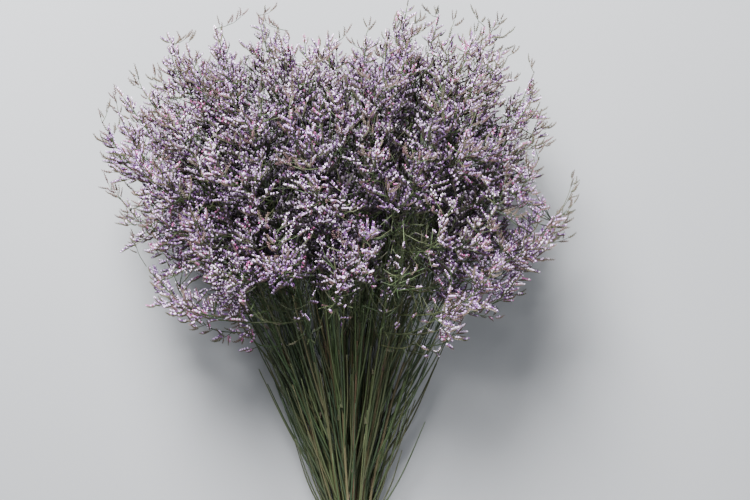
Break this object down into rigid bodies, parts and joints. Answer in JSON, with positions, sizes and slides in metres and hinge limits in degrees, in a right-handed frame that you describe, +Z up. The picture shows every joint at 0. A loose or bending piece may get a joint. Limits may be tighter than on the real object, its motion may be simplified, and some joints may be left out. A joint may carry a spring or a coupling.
{
  "type": "tied bunch of dried statice",
  "caption": "Tied bunch of dried statice lying on its side: bare green stalks gathered by a narrow band, opening into a broad airy head of lilac flower spikes on fine branches.",
  "frame": {"origin": "middle of the bunch's footprint, on the surface that it lies on", "axes": "+Y along the stalks from the cut ends towards the flowers, +X across the bunch, +Z up from the surface"},
  "size_m": [0.6134, 0.812, 0.3342],
  "materials": {
    "stalk": "dry ribbed green stalk, matt",
    "flowers": "papery lilac and white florets on grey-green bracts",
    "band": "plain elastic band, satin"
  },
  "bodies": {
    "root": {"stalk_01": "stalk", "stalk_02": "stalk", "stalk_03": "stalk", "stalk_04": "stalk", "stalk_05": "stalk", "stalk_06": "stalk", "stalk_07": "stalk", "stalk_08": "stalk", "stalk_09": "stalk", "stalk_10": "stalk", "stalk_11": "stalk", "stalk_12": "stalk", "stalk_13": "stalk", "stalk_14": "stalk", "stalk_15": "stalk", "stalk_16": "stalk", "stalk_17": "stalk", "stalk_18": "stalk", "stalk_19": "stalk", "stalk_20": "stalk", "stalk_21": "stalk", "stalk_22": "stalk", "stalk_23": "stalk", "stalk_24": "stalk", "stalk_25": "stalk", "stalk_26": "stalk", "stalk_27": "stalk", "stalk_28": "stalk", "spray_01": "flowers", "spray_02": "flowers", "spray_03": "flowers", "spray_04": "flowers", "spray_05": "flowers", "spray_06": "flowers", "spray_07": "flowers", "spray_08": "flowers", "spray_09": "flowers", "spray_10": "flowers", "spray_11": "flowers", "spray_12": "flowers", "spray_13": "flowers", "spray_14": "flowers", "spray_15": "flowers", "spray_16": "flowers", "spray_17": "flowers", "spray_18": "flowers", "spray_19": "flowers", "spray_20": "flowers", "spray_21": "flowers", "spray_22": "flowers", "spray_23": "flowers", "spray_24": "flowers", "spray_25": "flowers", "spray_26": "flowers", "spray_27": "flowers", "spray_28": "flowers", "tie_band": "band"}
  },
  "joints": []
}
